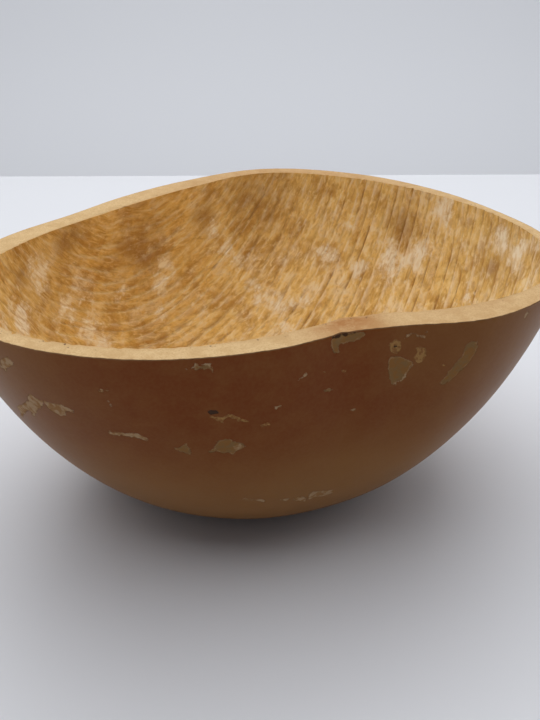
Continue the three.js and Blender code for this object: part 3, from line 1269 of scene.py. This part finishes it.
@dataclass(frozen=True)
class CutFaceFinish:
    """Sawn edge of the wall: pale, fibrous and porous, with the skin as a thin line and painted
    shade along its inner edge.

    Insets are millimetres from the face's inner edge, and skin_depth is
    millimetres from its outer edge.
    """

    name: str = "gourd_cut_face"
    pale: Colour = (0.68, 0.475, 0.24)
    straw: Colour = (0.53, 0.33, 0.14)
    # Rust beside the notch; also the tone of the painted shade over the far side.
    rust: Colour = (0.36, 0.14, 0.03)
    bleached: Colour = (0.74, 0.58, 0.35)
    pore: Colour = (0.2, 0.1, 0.045)
    skin_line: Colour = (0.17, 0.08, 0.03)
    roughness: float = 0.8
    specular: float = 0.25
    cloud: Cloud = Cloud(0.006, 4, 0.6)
    cloud_share: Span = Span(0.4, 0.7, 0, 0.7)
    fleck: Cloud = Cloud(0.0006, 3, 0.75)
    fleck_share: Span = Span(0.45, 0.62, 0, 0.7)
    rust_inset: Span = Span(1, 9, 1, 0.75)
    worn: Cloud = Cloud(0.0035, 4, 0.7)
    worn_share: Span = Span(0.36, 0.56, 0.72, 1)
    # Straw tint near the inner edge: painted shade where the face turns down into the hollow.
    bleached_share: Span = Span(0, -0.6)
    inner_edge_shade: Span = Span(0.3, 2.2, 0.45, 0)
    pore_spacing: float = 0.0016
    pore_share: Span = Span(0.1, 0.24, 1, 0)
    pore_areas: Cloud = Cloud(0.005, 2)
    pore_area_share: Span = Span(0.5, 0.6)
    pore_inset: Span = Span(0.5, 4.5, 1, 0.12)
    skin_edge: Cloud = Cloud(0.002)
    skin_edge_reach: float = 0.5
    skin_depth: Span = Span(0.15, 0.45, 1, 0)
    grain: Cloud = Cloud(0.0007, 3, 0.7)
    grain_depth: float = 0.18
    pore_depth: float = 0.3

    def dress(self) -> bpy.types.Material:
        """Make the material.

        Returns:
            The finished material.
        """
        sheet = FinishSheet(self.name)
        inset = sheet.value("rim_inset")
        pores = sheet.spread(sheet.dots(self.pore_spacing), self.pore_share)
        pores = sheet.times(pores, sheet.mottle(self.pore_areas, self.pore_area_share))
        pores = sheet.times(pores, sheet.spread(inset, self.pore_inset))
        ragged = sheet.ragged(sheet.noise(self.skin_edge), self.skin_edge_reach)
        line = sheet.spread(sheet.plus(sheet.value("rim_depth"), ragged), self.skin_depth)
        ground = self.ground(sheet, inset)
        colour = sheet.layers(ground, (pores, self.pore), (line, self.skin_line))
        relief = sheet.bump(sheet.noise(self.grain), self.grain_depth)
        relief = sheet.bump(sheet.minus(1, pores), self.pore_depth, relief)
        return sheet.finish(colour, self.roughness, relief, self.specular)

    def ground(self, sheet: FinishSheet, inset: Socket) -> Socket:
        """Colour of the face before its pores and the line of skin.

        Args:
            sheet: Sheet that the nodes go into.
            inset: Distance to the face's inner edge.

        Returns:
            The colour.
        """
        warmth = sheet.value("rim_warm")
        # rim_warm also carries painted shade over the far side, so this layer is rust beside the
        # notch and painted shade at the far side.
        rust = sheet.times(warmth, sheet.spread(inset, self.rust_inset))
        rust = sheet.times(rust, sheet.mottle(self.worn, self.worn_share))
        return sheet.layers(
            self.pale,
            (sheet.mottle(self.cloud, self.cloud_share), self.straw),
            (sheet.mottle(self.fleck, self.fleck_share), self.straw),
            (rust, self.rust),
            (sheet.spread(warmth, self.bleached_share), self.bleached),
            # Painted shade along the inner edge.
            (sheet.spread(inset, self.inner_edge_shade), self.straw),
        )


@dataclass(frozen=True)
class ScrapedFinish:
    """Golden inside, with torn fibres along the strokes and dusty pale areas, painted shade along
    the stroke risers and a painted highlight along their crests.
    """

    name: str = "gourd_scraped"
    golden: Colour = (0.88, 0.585, 0.185)
    straw: Colour = (0.95, 0.73, 0.37)
    brown: Colour = (0.57, 0.318, 0.075)
    dark: Colour = (0.30, 0.14, 0.035)
    # dust also tints the painted highlight along the crests.
    dust: Colour = (0.95, 0.83, 0.63)
    roughness: float = 0.62
    specular: float = 0.35
    drift: Cloud = Cloud(0.014, 5, 0.65, 0.4)
    drift_brown: Span = Span(0.42, 0.66)
    drift_dust: Span = Span(0.46, 0.3, 0, 0.5)
    blotch: Cloud = Cloud(1, 3, 0.6, 0.8, (0.22, 0.4, 1))
    blotch_brown: Span = Span(0.32, 0.5, 0.7, 0)
    blotch_straw: Span = Span(0.5, 0.66, 0, 0.7)
    fibre: Cloud = Cloud(1, 3, 0.5, 0.5, (0.24, 0.6, 1))
    fibre_dark: Span = Span(0.32, 0.52, 0.12, 0)
    fibre_straw: Span = Span(0.52, 0.7, 0, 0.22)
    fibre_dust: Span = Span(0.36, 0.6, 0.4, 1)
    broken: Cloud = Cloud(1, 3, 0.6, 0.3, (0.12, 0.2, 1))
    # How the painted shade along the risers and the painted highlight along the crests are broken
    # up, and how strong they are.
    groove_share: Span = Span(0.38, 0.58, 0.1, 1)
    crest_share: Span = Span(0.56, 0.4)
    groove_tint: float = 0.85
    crest_tint: float = 0.5
    mottled: Cloud = Cloud(0.006, 5, 0.65)
    brown_mottling: Span = Span(0.3, 0.6, 0.5, 1)
    brown_tint: float = 0.85
    dust_edge_reach: float = 2.8
    dust_mask: Span = Span(0.3, 1)
    stray_dust: Cloud = Cloud(0.018, 5, 0.7)
    stray_share: Span = Span(0.54, 0.7, 0, 0.6)
    fibre_depth: float = 0.18
    groove_depth: float = 0.3
    fuzz: Cloud = Cloud(0.0009, 3, 0.7)
    fuzz_depth: float = 0.12

    def dress(self) -> bpy.types.Material:
        """Make the material.

        Returns:
            The finished material.
        """
        sheet = FinishSheet(self.name)
        grain = sheet.value("grain", "Vector")
        drift = sheet.noise(self.drift)
        blotch = sheet.noise(self.blotch, grain)
        fibre = sheet.noise(self.fibre, grain)
        broken = sheet.noise(self.broken, grain)
        mottled = sheet.noise(self.mottled)
        # Painted shade along the steep risers of the strokes.
        riser_shade_mask = sheet.times(sheet.value("riser"), sheet.spread(broken, self.groove_share))
        # Painted highlight along the crests of the strokes.
        crest = sheet.times(sheet.value("crest"), sheet.spread(broken, self.crest_share))
        brown = sheet.value(PatchKind.BROWN.value)
        brown = sheet.times(brown, sheet.spread(mottled, self.brown_mottling))
        colour = sheet.layers(
            self.golden,
            (sheet.spread(drift, self.drift_brown), self.brown),
            (sheet.spread(drift, self.drift_dust), self.dust),
            (sheet.spread(blotch, self.blotch_brown), self.brown),
            (sheet.spread(blotch, self.blotch_straw), self.straw),
            (sheet.spread(fibre, self.fibre_dark), self.dark),
            (sheet.spread(fibre, self.fibre_straw), self.straw),
            # Painted shade on the risers.
            (sheet.times(riser_shade_mask, self.groove_tint), self.dark),
            # Painted highlight on the crests, in the dust colour.
            (sheet.times(crest, self.crest_tint), self.dust),
            (sheet.times(brown, self.brown_tint), self.dark),
            (self.dusty(sheet, mottled, fibre), self.dust),
        )
        relief = sheet.bump(fibre, self.fibre_depth)
        relief = sheet.bump(sheet.minus(1, riser_shade_mask), self.groove_depth, relief)
        relief = sheet.bump(sheet.noise(self.fuzz), self.fuzz_depth, relief)
        return sheet.finish(colour, self.roughness, relief, self.specular)

    def dusty(self, sheet: FinishSheet, mottled: Socket, fibre: Socket) -> Socket:
        """Where dust lies: in the dusty patches and in stray areas.

        Args:
            sheet: Sheet that the nodes go into.
            mottled: Noise that makes the patches ragged.
            fibre: Noise of the torn fibres.

        Returns:
            Share from 0 to 1.
        """
        edge = sheet.ragged(mottled, self.dust_edge_reach)
        patches = sheet.plus(sheet.value(PatchKind.DUSTY.value), edge)
        stray = sheet.mottle(self.stray_dust, self.stray_share)
        dust = sheet.most(sheet.spread(patches, self.dust_mask), stray)
        return sheet.times(dust, sheet.spread(fibre, self.fibre_dust))


@dataclass
class GourdShell:
    """The whole shell: skin, cut face and scraped inside as one closed piece."""

    body: GourdBody = field(default_factory=GourdBody)
    rim_middle: tuple[float, float] = (0.1517, -4.6)
    front: tuple[float, float] = (222, 326)
    front_columns: int = 262
    back_columns: int = 156
    ring_levels: tuple[float, float, float] = (100, 60, 27)
    ring_steps: tuple[float, float] = (0.72, 1)
    foot_rings: int = 26
    edge_round: float = 0.25
    undulation: Rumple = Rumple(0.35, 34, 5.2)
    undulation_end: float = 1.15
    undulation_middle: float = 80
    chips: Rumple = Rumple(0.22, 3.2, 7.7)
    chip_fall: float = 0.7
    notch: Hump = Hump(285.2, 1.5, 0.8)
    notch_fall: float = 1.4
    rust: Hump = Hump(288.5, 9)
    # The hump at 84 degrees is painted shade over the far side of the rim; the one at 318 degrees
    # is faint rust.
    far_shade_and_faint_rust: tuple[Hump, Hump] = (Hump(84, 38, 0.48), Hump(318, 22, 0.22))
    bleach: Hump = Hump(172, 16, 0.6)
    ring_insets: tuple[float, ...] = (0.7, 1.6, 3.0)
    inner_margin: float = 1.2
    stroke_pitch: float = 5.6
    far_from_rim: float = 10
    scar_reach: float = 4
    scar_margin: float = 3
    line_samples: int = 400
    finishes: tuple[SkinFinish, CutFaceFinish, ScrapedFinish] = (
        SkinFinish(),
        CutFaceFinish(),
        ScrapedFinish(),
    )

    def azimuths(self) -> Array:
        """Azimuths of the skin's columns, closest together at the front.

        Returns:
            Azimuths in radians, in rising order.
        """
        first, last = (math.radians(a) for a in self.front)
        front = np.linspace(first, last, self.front_columns, endpoint=False)
        back = np.linspace(last, first + TURN, self.back_columns, endpoint=False)
        return np.sort(np.concatenate([front, back]) % TURN)

    def ways(self) -> Array:
        """Ways down the skin of its rings, closest together near the rim.

        Returns:
            Ways from 0 at the rim to 1 at the edge of the flat spot.
        """
        spans = zip(self.ring_levels, self.ring_levels[1:], self.ring_steps)
        heights = np.concatenate([np.arange(high, low, -step) for high, low, step in spans])
        ways = self.body.way_at(heights)
        return np.concatenate([ways, np.linspace(ways[-1], 1, self.foot_rings + 1)[1:]])

    def add_skin(self, draft: MeshDraft) -> Edge:
        """Add the skin down to the flat spot.

        Args:
            draft: Draft that the skin goes into.

        Returns:
            Point numbers and places of the outer edge of the rim.
        """
        azimuth, way = np.meshgrid(self.azimuths(), self.ways(), indexing="ij")
        points = self.body.skin_point(azimuth, way)
        unrest = self.undulation.at(points)
        unrest = unrest * np.sin(math.pi * np.clip(way * self.undulation_end, 0, 1))
        outward = points - np.array([0, 0, self.undulation_middle])
        outward /= np.linalg.norm(outward, axis=2, keepdims=True)
        points = self.cut_notch(points + outward * unrest[..., None], azimuth)
        values = {kind.value: self.scar_field(azimuth, way, kind) for kind in ScarKind}
        numbers = draft.add_points(points, **values)
        after = np.roll(numbers, -1, 0)
        draft.add_quads(numbers[:, :-1], numbers[:, 1:], after[:, 1:], after[:, :-1], Surface.SKIN)
        foot = draft.add_points(np.array([[*self.body.foot_shift, 0.0]]))
        draft.add_triangles(
            numbers[:, -1], np.repeat(foot, len(numbers)), after[:, -1], Surface.SKIN
        )
        return numbers[:, 0], points[:, 0]

    def cut_notch(self, points: Array, azimuth: Array) -> Array:
        """Round the rim's outer edge and break it at the notch.

        Args:
            points: Columns by rings places of the skin.
            azimuth: Their azimuths in radians.

        Returns:
            The changed places.
        """
        below = self.body.height - points[..., 2]
        inward = np.stack([-np.cos(azimuth), -np.sin(azimuth), np.zeros_like(azimuth)], -1)
        broken = self.notch.at(azimuth) * hump(below, 0, self.notch_fall)
        points = points + inward * broken[..., None]
        chips = self.chips.at(points) * hump(below, 0, self.chip_fall)
        points = points + inward * chips[..., None]
        points[:, 0, 2] -= self.edge_round
        return points

    def scar_field(self, azimuth: Array, way: Array, kind: ScarKind) -> Array:
        """How far points of the skin lie inside the scars of one kind.

        Args:
            azimuth: Columns by rings azimuths in radians.
            way: Columns by rings ways down the skin.
            kind: Which scars count.

        Returns:
            Distances in millimetres, above 0 inside a scar.
        """
        body, margin = self.body, self.scar_margin
        deepest = np.full(azimuth.shape, -self.scar_reach, float)
        ways = np.linspace(0, 1, self.line_samples)
        for outline in SCARS[kind]:
            corners = np.array(outline)
            turns, downs = np.radians(corners[:, 0]), body.way_at(corners[:, 1])
            middle = turns.mean()
            line = body.skin_point(np.full(self.line_samples, middle), ways)
            pieces = np.linalg.norm(np.diff(line, axis=0), axis=1)
            lengths = np.concatenate([[0], np.cumsum(pieces)])
            centre = body.skin_point(np.array([middle]), downs.mean(keepdims=True))[0]
            radius = np.hypot(*centre[:2])
            turned = lambda turn: (turn - middle + math.pi) % TURN - math.pi
            flatten = lambda turn, down: np.stack(
                [radius * turned(turn), np.interp(down, ways, lengths)], -1
            )
            border, skin = flatten(turns, downs), flatten(azimuth, way)
            near = ((skin > border.min(0) - margin) & (skin < border.max(0) + margin)).all(-1)
            deepest[near] = np.maximum(deepest[near], outline_room(skin[near], border))
        return deepest

    def patch_field(self, points: Array, kind: PatchKind) -> Array:
        """Strength of the soft patches of one kind at points of the inside.

        Args:
            points: Places in millimetres.
            kind: Which patches count.

        Returns:
            Strengths from 0 to 1.
        """
        flat = points.reshape(-1, 3) + np.array([*self.rim_middle, 0])
        strength = np.zeros(len(flat))
        for patch in PATCHES[kind]:
            gap = np.linalg.norm(flat - np.array(patch.middle), axis=1)
            strength = np.maximum(strength, patch.strength * hump(gap, 0, patch.reach))
        return strength.reshape(points.shape[:-1])

    def add_inside(self, draft: MeshDraft) -> Edge:
        """Add the scraped inside.

        Args:
            draft: Draft that the inside goes into.

        Returns:
            Point numbers and places of the inner edge of the rim.
        """
        scraped = ScrapingStrokes(Hollow(self.body)).build()
        points = scraped.points
        steps = np.linalg.norm(np.diff(points, axis=1), axis=2)
        along = np.concatenate([np.zeros((len(points), 1)), np.cumsum(steps, 1)], 1)
        across = np.repeat(scraped.place[:, None] * self.stroke_pitch, points.shape[1], 1)
        grain = np.stack([along, across, np.zeros_like(along)], -1)
        fields = {kind.value: self.patch_field(points, kind) for kind in PatchKind}
        rows = draft.add_points(
            points,
            grain=grain,
            crest=scraped.crest,
            riser=scraped.riser,
            rim_depth=np.full(along.shape, self.far_from_rim),
            rim_warm=self.warmth(np.arctan2(points[..., 1], points[..., 0])),
            **fields,
        )
        poles = np.array([scraped.stem_pole, scraped.blossom_pole])
        poles[:, 2] = self.body.height
        stem, blossom = draft.add_points(
            poles,
            grain=np.array([grain[0, 0], grain[-1, 0]]),
            crest=np.ones(2),
            rim_depth=np.full(2, self.far_from_rim),
        )
        draft.add_quads(rows[:-1, :-1], rows[:-1, 1:], rows[1:, 1:], rows[1:, :-1], Surface.SCRAPED)
        count = points.shape[1] - 1
        draft.add_triangles(np.full(count, stem), rows[0, 1:], rows[0, :-1], Surface.SCRAPED)
        draft.add_triangles(np.full(count, blossom), rows[-1, :-1], rows[-1, 1:], Surface.SCRAPED)
        numbers = np.concatenate([[stem], rows[:, 0], [blossom], rows[::-1, -1]])
        places = np.concatenate([poles[:1], points[:, 0], poles[1:], points[::-1, -1]])
        order = np.argsort(np.arctan2(places[:, 1], places[:, 0]) % TURN, kind="stable")
        return numbers[order], places[order]

    def warmth(self, azimuth: Array) -> Array:
        """How warm and dark the cut face is: rust that is most beside the notch, painted shade over
        the far side, and below 0 where it's bleached.
        """
        faint = sum(stretch.at(azimuth) for stretch in self.far_shade_and_faint_rust)
        return np.maximum(self.rust.at(azimuth), faint - self.bleach.at(azimuth))

    def add_cut_face(self, draft: MeshDraft, outer: Edge, inner: Edge) -> None:
        """Add the cut face between the two edges of the rim.

        Args:
            draft: Draft that the face goes into.
            outer: Point numbers and places of the outer edge.
            inner: Point numbers and places of the inner edge, by azimuth.
        """
        turn = lambda places: np.arctan2(places[:, 1], places[:, 0]) % TURN
        distance = lambda places: np.hypot(places[:, 0], places[:, 1])
        order = np.argsort(turn(outer[1]), kind="stable")
        numbers, places = outer[0][order], outer[1][order]
        azimuth, reach = turn(places), distance(places)
        edge = np.interp(azimuth, turn(inner[1]), distance(inner[1]), period=TURN)
        edge = np.minimum.reduce([np.roll(edge, k) for k in (-1, 0, 1)])
        width = reach - edge
        warm = self.warmth(azimuth)
        top = np.full_like(width, self.body.height)
        whole = max(self.ring_insets) + self.inner_margin
        rings = [numbers]
        for inset in (self.edge_round, *self.ring_insets):
            step = np.minimum(inset, width * inset / whole)
            radius = reach - step
            ring = np.stack([radius * np.cos(azimuth), radius * np.sin(azimuth), top], -1)
            rings.append(
                draft.add_points(ring, rim_depth=step, rim_inset=width - step, rim_warm=warm)
            )
        for here, next_in in zip(rings, rings[1:]):
            after, after_in = np.roll(here, -1), np.roll(next_in, -1)
            draft.add_quads(here, after, after_in, next_in, Surface.CUT_FACE)
        self.zip_edges(draft, (rings[-1], azimuth), (inner[0], turn(inner[1])))

    def zip_edges(self, draft: MeshDraft, outer: Edge, inner: Edge) -> None:
        """Join two closed edges by azimuth.

        Args:
            draft: Draft that the triangles go into.
            outer: Point numbers and azimuths of the outer edge.
            inner: Point numbers and azimuths of the inner edge.
        """
        sizes = len(outer[0]), len(inner[0])
        at = lambda edge, k, n: edge[1][k % n] + (TURN if k >= n else 0)
        corners = []
        o = i = 0
        while o < sizes[0] or i < sizes[1]:
            out_here, in_here = outer[0][o % sizes[0]], inner[0][i % sizes[1]]
            lags = at(inner, i + 1, sizes[1]) < at(outer, o + 1, sizes[0])
            if o >= sizes[0] or (lags and i < sizes[1]):
                i += 1
                corners.append((out_here, inner[0][i % sizes[1]], in_here))
            else:
                o += 1
                corners.append((out_here, outer[0][o % sizes[0]], in_here))
        a, b, c = np.array(corners).T
        draft.add_triangles(a, b, c, Surface.CUT_FACE)

    def build(self) -> bpy.types.Object:
        """Build the shell, dress it and put it in place of the solid.

        Returns:
            The finished piece.
        """
        draft = MeshDraft()
        outer = self.add_skin(draft)
        inner = self.add_inside(draft)
        self.add_cut_face(draft, outer, inner)
        piece = draft.make("gourd_bowl", np.array([*self.rim_middle, 0]))
        for finish in self.finishes:
            piece.data.materials.append(finish.dress())
        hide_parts("gourd_shell")
        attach(piece, "root")
        return piece


@dataclass(frozen=True)
class PlainFinish:
    """Even matt finish of the studio's surfaces."""

    name: str
    colour: Colour
    roughness: float = 0.6

    def dress(self) -> bpy.types.Material:
        """Make the material."""
        return FinishSheet(self.name).finish((*self.colour, 1), self.roughness)


@dataclass
class SoftBox:
    """Soft square light: where it hangs, where it points, its size and its power."""

    name: str
    place: tuple[float, float, float]
    aim: tuple[float, float, float]
    size: tuple[float, float]
    power: float
    colour: Colour = (1, 1, 1)

    def hang(self) -> bpy.types.Object:
        """Make the light and link it to the scene.

        Returns:
            The light.
        """
        data = bpy.data.lights.new(self.name, "AREA")
        data.shape = "RECTANGLE"
        data.size, data.size_y = self.size
        data.energy = self.power
        data.color = self.colour
        light = bpy.data.objects.new(self.name, data)
        way = Vector(self.aim) - Vector(self.place)
        light.location = self.place
        light.rotation_euler = way.to_track_quat("-Z", "Y").to_euler()
        light.visible_camera = False
        bpy.context.scene.collection.objects.link(light)
        return light


@dataclass
class Studio:
    """Pale table and backdrop, soft daylight and the camera, all in metres."""

    table_far_edge: float = 0.477
    table_reach: float = 3
    backdrop_distance: float = 1.5
    backdrop_height: float = 2.2
    backdrop_drop: float = 1
    camera_place: tuple[float, float, float] = (0.00218, -0.33311, 0.21119)
    camera_pitch: float = 26.2
    camera_roll: float = -0.22
    lens: float = 45
    sky: Colour = (0.86, 0.89, 0.95)
    sky_strength: float = 0.185
    table_finish: PlainFinish = PlainFinish("table_top", (0.765, 0.78, 0.82), 0.5)
    backdrop_finish: PlainFinish = PlainFinish("backdrop", (0.85, 0.87, 0.92), 0.9)
    lights: tuple[SoftBox, ...] = (
        SoftBox("window", (-0.08, 0.04, 1.05), (0, 0.02, 0), (1.6, 1.25), 9.8),
        SoftBox("rear_fill", (0, 0.75, 0.95), (0, 0.25, 0), (1.8, 0.7), 4.8),
        SoftBox("left_fill", (-1.1, 0.2, 0.75), (0, 0.1, 0.05), (0.9, 0.9), 1.3),
        SoftBox("right_fill", (1.1, 0.2, 0.75), (0.05, 0.05, 0.03), (0.9, 0.9), 2.2),
        SoftBox("backdrop_wash", (0, 0.9, -0.22), (0, 1.5, -0.2), (2.5, 0.2), 3.4),
    )

    def plane(
        self, name: str, corners: list[tuple[float, float, float]], finish: PlainFinish
    ) -> bpy.types.Object:
        """Make one flat four-cornered surface.

        Args:
            name: Name of the surface.
            corners: Corners in order, in metres.
            finish: Its finish.

        Returns:
            The object.
        """
        mesh = bpy.data.meshes.new(name)
        mesh.from_pydata(corners, [], [(0, 1, 2, 3)])
        mesh.materials.append(finish.dress())
        surface = bpy.data.objects.new(name, mesh)
        bpy.context.scene.collection.objects.link(surface)
        return surface

    def build(self) -> None:
        """Set up the table, the backdrop, the lights, the sky and the camera."""
        wide, far = self.table_reach, self.table_far_edge
        table = self.plane(
            "table",
            [(-wide, -wide, 0), (wide, -wide, 0), (wide, far, 0), (-wide, far, 0)],
            self.table_finish,
        )
        back, low, high = self.backdrop_distance, -self.backdrop_drop, self.backdrop_height
        backdrop = self.plane(
            "backdrop",
            [(-wide, back, low), (wide, back, low), (wide, back, high), (-wide, back, high)],
            self.backdrop_finish,
        )
        for box in self.lights:
            box.hang()
        world = bpy.data.worlds.new("soft_sky")
        world.use_nodes = True
        sky = world.node_tree.nodes["Background"]
        sky.inputs["Color"].default_value = (*self.sky, 1)
        sky.inputs["Strength"].default_value = self.sky_strength
        bpy.context.scene.world = world
        bpy.context.scene.view_settings.view_transform = "Standard"
        self.stand_camera()

    def stand_camera(self) -> None:
        """Stand the camera where the bowl is looked at from."""
        data = bpy.data.cameras.new("camera")
        data.lens = self.lens
        camera = bpy.data.objects.new("camera", data)
        pitch = Matrix.Rotation(math.radians(90 - self.camera_pitch), 4, "X")
        roll = Matrix.Rotation(math.radians(self.camera_roll), 4, "Z")
        camera.matrix_world = Matrix.Translation(self.camera_place) @ pitch @ roll
        bpy.context.scene.collection.objects.link(camera)
        bpy.context.scene.camera = camera


def main() -> None:
    """Build the bowl and its studio."""
    logging.basicConfig(level=logging.INFO, format="%(name)s: %(message)s")
    bowl = GourdShell().build()
    LOG.info("%s: %d faces, %d points", bowl.name, len(bowl.data.polygons), len(bowl.data.vertices))
    Studio().build()
    LOG.info("studio: table, backdrop, lights and camera")


if __name__ == "__main__":
    main()
